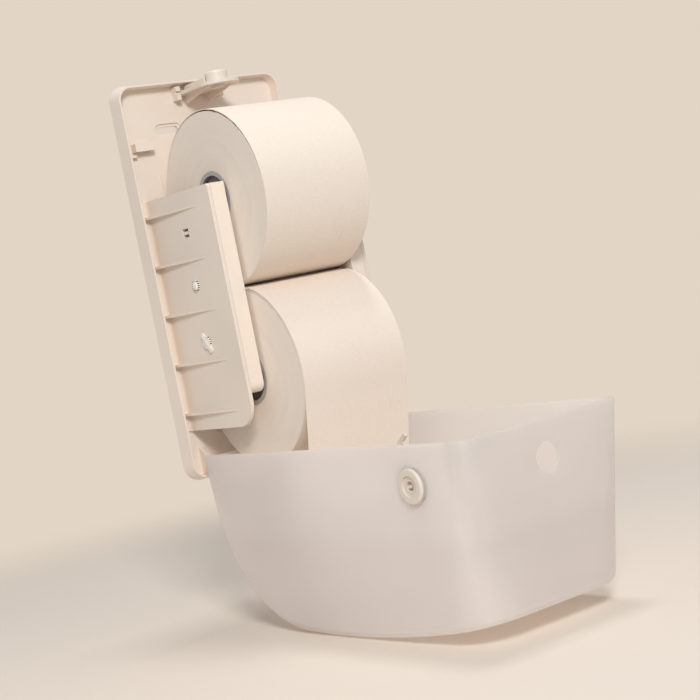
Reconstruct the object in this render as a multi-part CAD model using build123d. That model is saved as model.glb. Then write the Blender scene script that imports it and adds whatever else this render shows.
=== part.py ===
from build123d import *
import math
import os

os.makedirs("parts", exist_ok=True)

# Frame: X to the right as seen by someone facing the wall, -Y out of the wall, +Z up, the wall at Y = 0,
# origin at the centre of the wall-screw slots. The part is drawn with its cover hanging open.

# Paper rolls
roll_width = 97.5
upper_roll_dia = 139.0
lower_roll_dia = 140.0
roll_gap = 0.5
core_dia = 43.5
core_wall = 3.4
core_clearance = 0.1
core_stands_out = 0.45
hub_recess = 2.6
hub_length = 8.0
hub_boss_dia = 17.0
axle_dia = 10.0
axle_flats = 9.0
running_clearance = 0.08
tail_thickness = 0.6
tail_clearance = 0.35
tail_start_angle = 106.0

# Back tray
floor_front = 4.0
floor_sheet = 2.6
rim_depth = 13.6
rim_lip = 1.6
rim_flare = 1.5
rim_inner_draft = 1.0
rim_corner = 12.0
roll_floor_gap = 4.2
bottom_gap = 4.2
head_room = 34.3
side_rim_space = 9.5
slot_pitch_x = 64.0
slot_pitch_z = 244.0
slot_length = 20.0
slot_width = 5.4
slot_recess = 1.2
slot_recess_border = 2.4
slot_pad_border = 7.0

# Arms and the roll tracks inside them
arm_wall = 3.0
track_gap_to_roll = 3.25
track_wall = 2.0
track_skin = 2.2
track_box = 12.3
track_seat = 0.2
axle_to_front = 21.8
axle_to_track_back = 29.5
arm_above_axle = 11.3
arm_below_axle = 35.7
track_below_axle = 11.4
arm_nose_radius = 20.0
arm_root_radius = 5.0
gusset_count = 5
gusset_sheet = 2.0
gusset_end_margin = 13.6
gusset_reach = 80.0
gusset_root = 4.9
flat_clearance = 0.1
lift_travel = 12.0

# Track fasteners in the arm wall
fastener_y = -56.8
hook_below_axle = 21.0
peg_below_gusset = 20.25
wing_below_gusset = 25.3
peg_dia = 6.8
peg_hole_dia = 7.2
wing_shank_dia = 6.0
wing_span = 19.0
wing_width = 4.6
wing_sheet = 1.5
wing_ridge = 0.4
wing_tilt = 54.0

# Pawls that hold the upper roll clear of the lower one
pawl_pin_dia = 3.0
pawl_sheet = 5.0
pawl_back = 14.0
pawl_drop = 12.0
pawl_hub_dia = 7.0
pawl_rest_gap = 0.1

# Latch tongue and push button
tongue_width = 35.6
tongue_sheet = 2.8
tongue_below_top = 11.0
tongue_pivot_y = -8.0
trunnion_dia = 4.0
socket_wall = 4.0
socket_gap = 0.5
button_y = -40.0
button_dia = 18.0
button_above_tray = 0.6
spine_width = 22.0
spine_below_top = 3.5
spine_gap = 0.6
web_sheet = 2.0
web_offset = 11.0
web_drop = 7.0
web_reach = 47.0

# Strike for the side lock
strike_width = 16.8
strike_below_top = 45.7
strike_height = 6.8
strike_front = 11.2
strike_wall = 1.4

# Cover
cover_wall = 2.4
cover_inset = 2.5
cover_lip_gap = 0.6
cover_above_tray = 3.5
cover_below_tray = 0.5
cover_roll_gap = 5.3
cover_side_draft = 2.5
cover_top_draft = 4.5
cover_bottom_draft = 2.5
cover_nose_radius = 95.0
cover_front_crown = 1000.0
cover_crown_z = -30.0
cover_edge_radius = 8.0
cover_corner_rim = 9.0
cover_corner_front = 42.0
button_hole_dia = 21.0
outlet_half_width = 54.0
outlet_depth_start = 36.0
outlet_height = 78.0
outlet_corner = 8.0
tear_bar_height = 11.0
tear_bar_sheet = 1.3
tooth_pitch = 5.0
tooth_height = 2.4
heel_relief = 2.5
heel_length = 8.5
open_angle = 90.0
hinge_height = 5.55
hinge_forward = 13.75

# Hinge
hinge_pin_dia = 5.0
hinge_lug_radius = 5.0
hinge_lug_x = 60.0
hinge_lug_sheet = 4.0
hinge_side_gap = 0.35
hinge_lug_rise = 18.5
hinge_stop_gap = 0.3
lug_notch_gap = 3.0
hinge_boss_dia = 11.0
pin_head_dia = 8.0
pin_head = 1.6
pin_seat_clearance = 0.05

# Side lock
lock_drop = 58.0
lock_depth = 28.2
lock_pad = 3.9
lock_flange_dia = 25.0
lock_flange = 2.2
lock_body_dia = 17.0
lock_nut_dia = 24.0
lock_nut = 5.5
lock_plug_dia = 10.0
lock_dish = 1.2
lock_seat_clearance = 0.1
lock_turn = 35.0
cam_sheet = 2.5
cam_width = 6.0
cam_nose = 2.7
cam_screw_dia = 4.0
cam_screw_head_dia = 7.6

# Values that follow from the ones above
floor_y = -floor_front
lip_y = -rim_depth
tray_height = bottom_gap + lower_roll_dia + roll_gap + upper_roll_dia + head_room
tray_top = tray_height / 2
tray_bottom = -tray_top
roll_face_x = roll_width / 2
track_inner_x = roll_face_x + track_gap_to_roll
track_outer_x = track_inner_x + track_box
arm_inner_x = track_outer_x + track_seat
arm_outer_x = arm_inner_x + arm_wall
lip_x = arm_outer_x + side_rim_space
tray_width = 2 * lip_x
axle_y = floor_y - roll_floor_gap - lower_roll_dia / 2
lower_axle_z = tray_bottom + bottom_gap + lower_roll_dia / 2
upper_axle_z = lower_axle_z + (lower_roll_dia + upper_roll_dia) / 2 + roll_gap
arm_front_y = axle_y - axle_to_front
arm_top_z = upper_axle_z + arm_above_axle
arm_bottom_z = lower_axle_z - arm_below_axle
top_gusset_z = arm_top_z - gusset_end_margin
gusset_pitch = (top_gusset_z - arm_bottom_z - gusset_end_margin) / (gusset_count - 1)
hook_z = upper_axle_z - hook_below_axle
peg_z = top_gusset_z - gusset_pitch - peg_below_gusset
wing_z = top_gusset_z - 2 * gusset_pitch - wing_below_gusset
track_back_y = axle_y + axle_to_track_back
track_bottom_z = lower_axle_z - track_below_axle
slot_half = (axle_flats + 2 * flat_clearance) / 2
tongue_z = tray_top - tongue_below_top
tongue_top_z = tongue_z + tongue_sheet
cover_y = lip_y - cover_lip_gap
cover_x = lip_x - cover_inset
cover_top_z = tray_top + cover_above_tray
cover_bottom_z = tray_bottom - cover_below_tray
cover_depth = -axle_y + lower_roll_dia / 2 + cover_roll_gap + cover_wall - (-cover_y)
hinge_y = lip_y - hinge_forward
hinge_z = tray_bottom + hinge_height
lock_y = cover_y - lock_depth
lock_z = cover_top_z - lock_drop


def block(x0, x1, y0, y1, z0, z1):
    """A box between two corners."""
    size = Box(abs(x1 - x0), abs(y1 - y0), abs(z1 - z0))
    return Pos((x0 + x1) / 2, (y0 + y1) / 2, (z0 + z1) / 2) * size


def rod_x(dia, x0, x1, y, z):
    """A round bar along X."""
    return Pos((x0 + x1) / 2, y, z) * Rot(0, 90, 0) * Cylinder(dia / 2, abs(x1 - x0))


def rod_y(dia, x, z, y0, y1):
    """A round bar along Y."""
    return Pos(x, (y0 + y1) / 2, z) * Rot(90, 0, 0) * Cylinder(dia / 2, abs(y1 - y0))


def rod_z(dia, x, y, z0, z1):
    """A round bar along Z."""
    return Pos(x, y, (z0 + z1) / 2) * Cylinder(dia / 2, abs(z1 - z0))


def plate_x(points, x0, x1):
    """A flat plate across X whose outline is given as (y, z) points."""
    outline = Polyline(*[(x0, y, z) for y, z in points], close=True)
    return extrude(make_face(outline), amount=x1 - x0, dir=(1, 0, 0))


def plate_z(points, z0, z1):
    """A flat plate across Z whose outline is given as (x, y) points."""
    outline = Polyline(*[(x, y, z0) for x, y in points], close=True)
    return extrude(make_face(outline), amount=z1 - z0, dir=(0, 0, 1))


def slot_y(x, z, length, width, y0, y1):
    """A round-ended bar along Y, long in X."""
    reach = (length - width) / 2
    bar = block(x - reach, x + reach, y0, y1, z - width / 2, z + width / 2)
    return bar + rod_y(width, x - reach, z, y0, y1) + rod_y(width, x + reach, z, y0, y1)


def rounded_slab(width, height, corner, y):
    """A rounded rectangle drawn at one depth in front of the wall."""
    return Plane.XZ.offset(-y) * RectangleRounded(width, height, corner)


def other_side(shape):
    """The same piece on the right-hand side."""
    return mirror(shape, about=Plane.YZ)


def opened(shape):
    """Swings something drawn on the closed cover to the open position of the photograph."""
    about_hinge = Pos(0, -hinge_y, -hinge_z)
    return Pos(0, hinge_y, hinge_z) * Rot(open_angle, 0, 0) * about_hinge * shape


def tray_shell():
    """The shallow tray: floor, drafted rim, wall slots with their pads and recesses."""
    back = rounded_slab(tray_width + 2 * rim_flare, tray_height + 4, rim_corner + rim_flare, 0)
    lip = rounded_slab(tray_width, tray_height, rim_corner, lip_y)
    shell = loft([back, lip])
    well_width = tray_width - 2 * rim_lip
    well_height = tray_height - 2 * rim_lip
    well_corner = rim_corner - rim_lip
    shrink = 2 * rim_inner_draft
    well_floor = rounded_slab(well_width - shrink, well_height - shrink, well_corner, floor_y)
    well_mouth = rounded_slab(well_width, well_height, well_corner, lip_y - 0.01)
    shell -= loft([well_floor, well_mouth])
    hollow = rounded_slab(well_width - shrink, well_height - shrink, well_corner, 0)
    hollow = extrude(hollow, amount=floor_front - floor_sheet)
    for side in (-1, 1):
        for level in (-1, 1):
            x = side * slot_pitch_x / 2
            z = level * slot_pitch_z / 2
            pad = slot_y(x, z, slot_length + 2 * slot_pad_border, slot_width + 2 * slot_pad_border, 1, floor_y)
            hollow -= pad
    shell -= hollow
    for side in (-1, 1):
        for level in (-1, 1):
            x = side * slot_pitch_x / 2
            z = level * slot_pitch_z / 2
            border = 2 * slot_recess_border
            shell -= slot_y(x, z, slot_length, slot_width, 1, floor_y - 1)
            shell -= slot_y(x, z, slot_length + border, slot_width + border, floor_y + slot_recess, floor_y - 1)
    return shell


def left_arm():
    """The left arm wall with its rounded nose, root fillet, gussets and fastener holes."""
    wall = block(-arm_outer_x, -arm_inner_x, floor_y + 1, arm_front_y, arm_bottom_z, arm_top_z)
    nose = wall.edges().filter_by(Axis.X).group_by(Axis.Y)[0].sort_by(Axis.Z)
    wall = fillet(nose[0], arm_nose_radius)
    tip = wall.edges().filter_by(Axis.X).group_by(Axis.Z)[-1].sort_by(Axis.Y)
    wall = fillet(tip[0], 2.5)
    radius = arm_root_radius
    root = block(-arm_outer_x - radius, -arm_outer_x, floor_y + 1, floor_y - radius, arm_bottom_z, arm_top_z)
    root -= rod_z(2 * radius, -arm_outer_x - radius, floor_y - radius, arm_bottom_z - 1, arm_top_z + 1)
    arm = wall + root
    outline = [
        (-arm_outer_x + 0.5, floor_y + 1),
        (-arm_outer_x - gusset_root, floor_y + 1),
        (-arm_outer_x, -gusset_reach),
        (-arm_outer_x + 0.5, -gusset_reach),
    ]
    for number in range(gusset_count):
        level = top_gusset_z - number * gusset_pitch
        arm += plate_z(outline, level - gusset_sheet / 2, level + gusset_sheet / 2)
    arm -= block(-arm_outer_x - 1, -arm_inner_x + 1, fastener_y - 4.5, fastener_y + 4.5, hook_z - 3.3, hook_z + 3.3)
    arm -= rod_x(peg_hole_dia, -arm_outer_x - 1, -arm_inner_x + 1, fastener_y, peg_z)
    arm -= rod_x(peg_hole_dia, -arm_outer_x - 1, -arm_inner_x + 1, fastener_y, wing_z)
    return arm


def left_hinge_lug():
    """The lug that carries the cover's hinge pin, with its sloping upper edge."""
    radius = hinge_lug_radius
    x0 = -hinge_lug_x - hinge_lug_sheet
    outline = [
        (floor_y + 1, hinge_z - radius),
        (floor_y + 1, hinge_z + hinge_lug_rise),
        (floor_y, hinge_z + hinge_lug_rise),
        (hinge_y + radius * 0.62, hinge_z + radius * 0.78),
        (hinge_y, hinge_z),
        (hinge_y, hinge_z - radius),
    ]
    lug = plate_x(outline, x0, -hinge_lug_x) + rod_x(2 * radius, x0, -hinge_lug_x, hinge_y, hinge_z)
    return lug - rod_x(hinge_pin_dia + 2 * running_clearance, x0 - 1, -hinge_lug_x + 1, hinge_y, hinge_z)


def left_latch_socket():
    """The C-shaped socket that the latch tongue's trunnion snaps into."""
    x0 = -tongue_width / 2 - socket_gap
    pivot_z = tongue_z + tongue_sheet / 2
    cheek = block(x0 - socket_wall, x0, floor_y + 1, tongue_pivot_y - 4, pivot_z - 5.5, pivot_z + 5.5)
    bore = trunnion_dia + 2 * running_clearance
    cheek -= rod_x(bore, x0 - socket_wall - 1, x0 + 1, tongue_pivot_y, pivot_z)
    mouth = trunnion_dia * 0.4
    return cheek - block(x0 - socket_wall - 1, x0 + 1, tongue_pivot_y, tongue_pivot_y - 9, pivot_z - mouth, pivot_z + mouth)


def lock_strike():
    """The strike on the tray floor: a small hood, open below, that the lock's hook enters."""
    x1 = -track_inner_x - 0.5
    x0 = x1 - strike_width
    z0 = tray_top - strike_below_top - strike_height
    z1 = tray_top - strike_below_top
    hood = block(x0, x1, floor_y + 1, -strike_front, z0, z1)
    rounded = hood.edges().filter_by(Axis.Y).group_by(Axis.X)[-1].sort_by(Axis.Z)[-1]
    hood = fillet(rounded, 2.5)
    hood -= block(x0 + strike_wall, x1 - strike_wall, floor_y, strike_wall - strike_front, z0 - 1, z1 - strike_wall)
    return hood + block(x0 - 4.5, x0 + 1.5, floor_y + 1, floor_y - 4, z0 - 4, z0 - 2)


def back_tray():
    """The one-piece back moulding: tray, both arms, hinge lugs, latch sockets and strike."""
    left = left_arm() + left_hinge_lug() + left_latch_socket()
    tray = tray_shell() + left + other_side(left)
    tray += lock_strike()
    rib_x = -track_inner_x + 4
    return tray + block(rib_x - 0.5, rib_x + 0.5, floor_y + 1, floor_y - 0.8, arm_top_z, arm_top_z + 20)


def left_track():
    """The track clipped inside the arm: a channel whose inner wall has the slot that guides the axle."""
    x0 = -track_outer_x
    x1 = -track_inner_x
    track = block(x0, x1, track_back_y, arm_front_y, track_bottom_z, arm_top_z)
    ends = track.edges().filter_by(Axis.X).group_by(Axis.Z)[0]
    track = fillet(ends, 8)
    pocket = block(
        x0 - 1,
        x1 - track_wall,
        track_back_y - track_skin,
        arm_front_y + track_skin,
        track_bottom_z + track_skin,
        arm_top_z + 1,
    )
    track -= fillet(pocket.edges().filter_by(Axis.X).group_by(Axis.Z)[0], 8 - track_skin)
    slot_floor = lower_axle_z - axle_dia / 2 - flat_clearance
    track -= block(x0 - 1, x1 + 1, axle_y - slot_half, axle_y + slot_half, slot_floor, arm_top_z + 1)
    track += block(x0, x1 - 1, fastener_y - 3, fastener_y + 3, hook_z - 3, hook_z + 3)
    track += block(x0 - track_seat - arm_wall + 0.6, x0, fastener_y - 3.4, fastener_y + 3.4, hook_z - 1.2, hook_z + 1.2)
    track += rod_x(9.5, x0, x1 - 1, fastener_y, peg_z)
    track += rod_x(peg_dia, -arm_outer_x - 0.9, x0, fastener_y, peg_z)
    track -= block(-arm_outer_x - 2, -arm_outer_x + 0.6, fastener_y - 0.7, fastener_y + 0.7, peg_z - 5, peg_z + 5)
    track += rod_x(10.5, x0, x1 - 1, fastener_y, wing_z)
    track -= rod_x(wing_shank_dia + 2 * running_clearance, x0 - 1, x1 - track_wall, fastener_y, wing_z)
    pin_y = axle_y + pawl_back
    pin_z = upper_axle_z - pawl_drop
    track += rod_x(pawl_hub_dia, x1 - track_wall - 2.4, x1 - 1, pin_y, pin_z)
    return track - rod_x(pawl_pin_dia + 2 * pin_seat_clearance, x0 - 1, x1 + 1, pin_y, pin_z)


def left_pawl():
    """The pawl under the upper axle's end: hub, lever and a tip shaped to cradle the axle."""
    x1 = -track_inner_x - track_wall - 2.4 - 0.3
    x0 = x1 - pawl_sheet
    pin_y = axle_y + pawl_back
    pin_z = upper_axle_z - pawl_drop
    top = upper_axle_z - axle_dia / 2 - pawl_rest_gap
    outline = [
        (pin_y + 2.2, pin_z - 2.4),
        (pin_y + 2.2, pin_z + 2.6),
        (axle_y + 3.4, top),
        (axle_y - 2.6, top),
        (axle_y - 2.6, top - 3.2),
        (axle_y + 2.4, top - 4.2),
    ]
    pawl = plate_x(outline, x0, x1) + rod_x(pawl_hub_dia, x0, x1, pin_y, pin_z)
    return pawl - rod_x(pawl_pin_dia + 2 * running_clearance, x0 - 1, x1 + 1, pin_y, pin_z)


def left_pawl_pin():
    """The steel pin that the pawl turns on."""
    return rod_x(pawl_pin_dia, -track_outer_x + 0.3, -track_inner_x - 0.2, axle_y + pawl_back, upper_axle_z - pawl_drop)


def left_wing_stud():
    """The quarter-turn stud that locks the track to the arm, its wing on the outside."""
    face = -arm_outer_x - 0.2
    stud = rod_x(wing_shank_dia, face, -track_inner_x - track_wall - 2.5, fastener_y, wing_z)
    stud += rod_x(9.6, face - wing_sheet, face, fastener_y, wing_z)
    reach = (wing_span - wing_width) / 2
    wing = block(face - wing_sheet, face, -reach, reach, -wing_width / 2, wing_width / 2)
    wing += rod_x(wing_width, face - wing_sheet, face, -reach, 0) + rod_x(wing_width, face - wing_sheet, face, reach, 0)
    ridge = block(face - wing_sheet - wing_ridge, face - 0.5, -reach, reach, -0.7, 0.7)
    return stud + Pos(0, fastener_y, wing_z) * Rot(wing_tilt, 0, 0) * (wing + ridge)


def axle(z):
    """An axle whose ends are flatted where they run in the track slots."""
    end = track_outer_x - 0.9
    bar = rod_x(axle_dia, -end, end, axle_y, z)
    shoulder = track_inner_x - 0.6
    for side in (-1, 1):
        for face in (-1, 1):
            y0 = axle_y + face * axle_flats / 2
            bar -= block(side * shoulder, side * (end + 1), y0, y0 + face * axle_dia, z - axle_dia, z + axle_dia)
    return bar


def core(z):
    """The tube that the paper is wound on."""
    end = roll_face_x + core_stands_out
    tube = rod_x(core_dia, -end, end, axle_y, z)
    return tube - rod_x(core_dia - 2 * core_wall, -end - 1, end + 1, axle_y, z)


def left_hub(z):
    """The plug in the core's end, dished, with the bearing bore for the axle."""
    outside = -roll_face_x + hub_recess
    inside = outside + hub_length
    rim_dia = core_dia - 2 * core_wall - 2 * core_clearance
    hub = rod_x(rim_dia, outside, inside, axle_y, z)
    hub -= rod_x(rim_dia - 3.2, outside + 2, inside + 1, axle_y, z)
    hub += rod_x(hub_boss_dia, -track_inner_x + 0.8, inside, axle_y, z)
    hub -= rod_x(axle_dia + 2 * running_clearance, -track_inner_x, inside + 1, axle_y, z)
    for number in range(6):
        arm = block(outside + 0.5, inside, 7, rim_dia / 2 - 0.5, -0.8, 0.8)
        hub += Pos(0, axle_y, z) * Rot(60 * number, 0, 0) * arm
    return hub


def paper(z, dia):
    """The wound paper of one roll."""
    roll = rod_x(dia, -roll_face_x, roll_face_x, axle_y, z)
    return roll - rod_x(core_dia + 2 * core_clearance, -roll_face_x - 1, roll_face_x + 1, axle_y, z)


def paper_tail():
    """The free end of the lower roll's paper, hanging from the front of the roll with its curl."""
    inner = lower_roll_dia / 2 + tail_clearance
    outer = inner + tail_thickness
    wrap = math.radians(tail_start_angle)
    leave = math.radians(184)
    middle = (wrap + leave) / 2
    centre = Vector(0, axle_y, lower_axle_z)
    hang = [(5.6, 32.0), (11.0, 55.0), (17.5, 80.0), (23.0, 112.0)]

    def on_circle(radius, angle):
        return centre + Vector(0, radius * math.cos(angle), radius * math.sin(angle))

    def falling(radius):
        return [centre + Vector(0, back - radius, -drop) for back, drop in hang]

    curves = []
    for radius in (inner, outer):
        arc = ThreePointArc(on_circle(radius, wrap), on_circle(radius, middle), on_circle(radius, leave))
        drop = Spline(arc @ 1, *falling(radius), tangents=[arc % 1, (0, 0.1, -1)])
        curves.append((arc, drop))
    (arc_in, drop_in), (arc_out, drop_out) = curves
    ends = [Line(arc_in @ 0, arc_out @ 0), Line(drop_in @ 1, drop_out @ 1)]
    face = make_face([arc_in, drop_in, arc_out, drop_out] + ends)
    return Pos(-roll_face_x, 0, 0) * extrude(face, amount=roll_width, dir=(1, 0, 0))


def latch_tongue():
    """The latch: a round-nosed tongue on two trunnions, stiffened below, with a spine behind the button."""
    half = tongue_width / 2
    pivot_z = tongue_z + tongue_sheet / 2
    rear = tongue_pivot_y + 2.0
    tongue = block(-half, half, rear, button_y, tongue_z, tongue_top_z)
    tongue += rod_z(tongue_width, 0, button_y, tongue_z, tongue_top_z)
    spine = block(-spine_width / 2, spine_width / 2, rear - 0.5, button_y + 2, tongue_top_z - 0.5, tray_top - spine_below_top)
    spine -= rod_z(button_dia + 2 * spine_gap, 0, button_y, tongue_z, tray_top + 1)
    tongue += spine
    web = [(rear - 1.5, tongue_z + 0.5), (rear - 1.5, tongue_z - web_drop), (-web_reach, tongue_z), (-web_reach, tongue_z + 0.5)]
    for side in (-1, 1):
        x = side * web_offset
        tongue += plate_x(web, x - web_sheet / 2, x + web_sheet / 2)
    reach = half + socket_gap + socket_wall
    tongue += rod_x(trunnion_dia, -reach, reach, tongue_pivot_y, pivot_z)
    return tongue - rod_z(8.0 + 2 * pin_seat_clearance, 0, button_y, tongue_z - 1, tray_top)


def latch_button():
    """The push button, a soft-edged cap with a stem through the tongue."""
    top = tray_top + button_above_tray
    cap = rod_z(button_dia, 0, button_y, tongue_top_z, top)
    cap = fillet(cap.edges().group_by(Axis.Z)[-1], 2.0)
    cap += rod_z(8.0, 0, button_y, tongue_z - 0.6, tongue_top_z)
    return cap + rod_z(10.5, 0, button_y, tongue_z - 2.0, tongue_z - 0.2)


def cover_form(inset, start):
    """The cover as a full body, closed, drawn inset from its outside, beginning at a depth behind its rim."""
    rise = math.tan(math.radians(cover_bottom_draft))
    fall = math.tan(math.radians(cover_top_draft))
    lean = math.tan(math.radians(cover_side_draft))
    below = 2 * cover_corner_front

    def at(depth, z):
        return (0, cover_y - depth, z)

    def front_depth(z):
        return cover_depth - inset - (z - cover_crown_z) ** 2 / (2 * cover_front_crown)

    low_z = cover_bottom_z
    for _ in range(5):
        low_z = cover_bottom_z + inset + front_depth(low_z) * rise
    rim_low = at(start, cover_bottom_z + inset + start * rise)
    front_low = at(front_depth(low_z), low_z)
    front_high = at(front_depth(cover_top_z), cover_top_z)
    front_middle = at(front_depth(cover_crown_z), cover_crown_z)
    outline = [
        Line(rim_low, front_low),
        ThreePointArc(front_low, front_middle, front_high),
        Line(front_high, at(start, cover_top_z)),
        Line(at(start, cover_top_z), rim_low),
    ]
    side_view = make_face(outline)
    front = side_view.vertices().filter_by(lambda v: v.Y < cover_y - cover_depth / 2).sort_by(Axis.Z)
    side_view = fillet(front[0], cover_nose_radius - inset)
    body = extrude(side_view, amount=cover_x + 10, dir=(1, 0, 0), both=True)
    sections = []
    for depth, corner in ((start, cover_corner_rim), (cover_depth + 5, cover_corner_front)):
        half = cover_x - inset - depth * lean
        top = cover_top_z - inset - depth * fall
        bottom = cover_bottom_z - below
        section = RectangleRounded(2 * half, top - bottom, corner - inset)
        sections.append(Plane.XZ.offset(depth - cover_y) * Pos(0, (top + bottom) / 2) * section)
    body = body & loft(sections)
    shoulder_z = cover_top_z - cover_corner_front
    inner = body.edges().filter_by(lambda e: e.center().Y < cover_y - start - 1)
    sides = inner.filter_by(lambda e: abs(e.center().X) > cover_x * 0.7 and e.center().Z < shoulder_z)
    brow = inner.filter_by(lambda e: e.center().Y < cover_y - cover_depth * 0.85 and e.center().Z > shoulder_z)
    return fillet(sides + brow, cover_edge_radius - inset)


def outlet():
    """The opening under the cover that the paper is pulled out of."""
    y0 = cover_y - outlet_depth_start
    y1 = cover_y - cover_depth - 20
    z1 = tray_bottom + outlet_height
    cut = block(-outlet_half_width, outlet_half_width, y0, y1, cover_bottom_z - 20, z1)
    sides = cut.edges().filter_by(Axis.Z).group_by(Axis.Y)[-1]
    cut = fillet(sides, outlet_corner)
    ends = cut.edges().filter_by(Axis.Y).group_by(Axis.Z)[-1]
    return fillet(ends, outlet_corner)


def front_cover():
    """The translucent cover: shell, hinge bosses, button hole, paper outlet and the pad for the side lock."""
    outside = cover_form(0, 0)
    inside = cover_form(cover_wall, -1.0)
    shell = outside - inside
    boss_x = hinge_lug_x + hinge_lug_sheet + hinge_side_gap
    for side in (-1, 1):
        boss = rod_x(hinge_boss_dia, side * boss_x, side * cover_x, hinge_y, hinge_z)
        shell += boss & outside
    pad_x = lock_pad_x()
    shell += rod_x(lock_flange_dia + 2, -pad_x, -pad_x + lock_pad, lock_y, lock_z)
    shell -= rod_x(lock_body_dia + 2 * lock_seat_clearance, -pad_x - 1, -pad_x + 6, lock_y, lock_z)
    for side in (-1, 1):
        bore = hinge_pin_dia + 2 * pin_seat_clearance
        shell -= rod_x(bore, side * (boss_x - 1), side * (boss_x + 6.6), hinge_y, hinge_z)
    shell -= rod_z(button_hole_dia, 0, button_y, cover_top_z - 20, cover_top_z + 5)
    heel_y = cover_y - heel_relief
    heel_z = cover_bottom_z + heel_length
    shell -= block(-cover_x - 1, cover_x + 1, heel_y, cover_y + 1, cover_bottom_z - 1, heel_z)
    return shell - outlet() - left_lug_notch() - other_side(left_lug_notch())


def left_lug_notch():
    """The notch in the cover's bottom wall that a hinge lug passes through; its end is the open stop."""
    x0 = -hinge_lug_x - hinge_lug_sheet - hinge_side_gap
    x1 = -hinge_lug_x + lug_notch_gap
    stop_y = hinge_y - hinge_lug_radius - hinge_stop_gap
    return block(x0, x1, stop_y, cover_y + 1, cover_bottom_z - 1, hinge_z)


def lock_pad_x():
    """How far out the flat pad for the lock lies, at the height of the drafted side wall there."""
    lean = math.tan(math.radians(cover_side_draft))
    return cover_x - (lock_depth - lock_flange_dia / 2) * lean + 0.2


def left_hinge_pin():
    """A hinge pin: its shank sits in the cover's boss and turns in the tray's lug."""
    head_x = hinge_lug_x - hinge_side_gap
    end_x = hinge_lug_x + hinge_lug_sheet + hinge_side_gap + 6.2
    pin = rod_x(hinge_pin_dia, -end_x, -head_x, hinge_y, hinge_z)
    return pin + rod_x(pin_head_dia, -head_x, -head_x + pin_head, hinge_y, hinge_z)


def lock_housing():
    """The lock's fixed barrel: a dished flange outside the cover and a tube through its wall."""
    face = -lock_pad_x()
    inner = face + lock_pad + lock_nut + 2.8
    body = rod_x(lock_flange_dia, face - lock_flange, face, lock_y, lock_z)
    body = fillet(body.edges().group_by(Axis.X)[0], 1.4)
    body += rod_x(lock_body_dia, face, inner, lock_y, lock_z)
    body -= rod_x(lock_plug_dia + 5, face - lock_flange - 1, face - lock_flange + lock_dish, lock_y, lock_z)
    return body - rod_x(lock_plug_dia + 2 * running_clearance, face - lock_flange - 1, inner + 1, lock_y, lock_z)


def lock_nut_ring():
    """The round nut that clamps the housing against the inside of the cover."""
    start = -lock_pad_x() + lock_pad
    ring = rod_x(lock_nut_dia, start, start + lock_nut, lock_y, lock_z)
    ring -= rod_x(lock_body_dia + 2 * lock_seat_clearance, start - 1, start + lock_nut + 1, lock_y, lock_z)
    for number in range(6):
        notch = block(start - 1, start + lock_nut + 1, lock_nut_dia / 2 - 1.4, lock_nut_dia, -1.5, 1.5)
        ring -= Pos(0, lock_y, lock_z) * Rot(60 * number, 0, 0) * notch
    return ring


def lock_plug():
    """The plug that the key turns, with its pin, keyway recess and the shoulder that keeps it in."""
    face = -lock_pad_x()
    inner = face + lock_pad + lock_nut + 2.8
    plug = rod_x(lock_plug_dia, face - lock_flange + lock_dish, inner, lock_y, lock_z)
    plug -= rod_x(7.4, face - lock_flange, face - lock_flange + lock_dish + 3.5, lock_y, lock_z)
    plug += rod_x(2.4, face - lock_flange + lock_dish - 0.2, face + 3, lock_y, lock_z)
    plug += rod_x(lock_plug_dia + 3, inner + 0.1, inner + 1.8, lock_y, lock_z)
    plug += rod_x(lock_plug_dia, inner - 1, inner + 0.5, lock_y, lock_z)
    return plug - rod_x(cam_screw_dia + 2 * pin_seat_clearance, inner - 6, inner + 3, lock_y, lock_z)


def cam_plane():
    """Where the cam's inner face lies across the dispenser."""
    return -lock_pad_x() + lock_pad + lock_nut + 2.8 + 1.8


def lock_cam():
    """The hooked lever that reaches back from the lock to the strike, drawn where it locks."""
    x0 = cam_plane()
    x1 = x0 + cam_sheet
    hood_z = tray_top - strike_below_top - strike_height
    tip_y = floor_y - 4.4
    tip_z = hood_z - 4.9
    run = tip_y - lock_y
    rise = tip_z - lock_z
    length = math.hypot(run, rise)
    angle = math.degrees(math.atan2(rise, run))
    bar = block(x0, x1, 0, length, -cam_width / 2, cam_width / 2)
    bar = Pos(0, lock_y, lock_z) * Rot(angle, 0, 0) * bar
    cam = bar + rod_x(cam_width, x0, x1, tip_y, tip_z) + rod_x(13, x0, x1, lock_y, lock_z)
    nose_y = tip_y + cam_width / 2 - 0.2
    cam += block(x0, x1, nose_y, nose_y - cam_nose, tip_z, hood_z + strike_height - strike_wall - 0.9)
    return cam - rod_x(cam_screw_dia + 2 * pin_seat_clearance, x0 - 1, x1 + 1, lock_y, lock_z)


def unlocked(shape):
    """Turns a piece of the lock from locked to unlocked, as the photograph's open cover has it."""
    return Pos(0, lock_y, lock_z) * Rot(-lock_turn, 0, 0) * Pos(0, -lock_y, -lock_z) * shape


def cam_screw():
    """The screw that holds the cam to the plug."""
    x1 = cam_plane() + cam_sheet
    screw = rod_x(cam_screw_dia, x1 - 6.5, x1, lock_y, lock_z)
    head = rod_x(cam_screw_head_dia, x1, x1 + 2.4, lock_y, lock_z)
    return screw + fillet(head.edges().group_by(Axis.X)[-1], 1.0)


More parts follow.
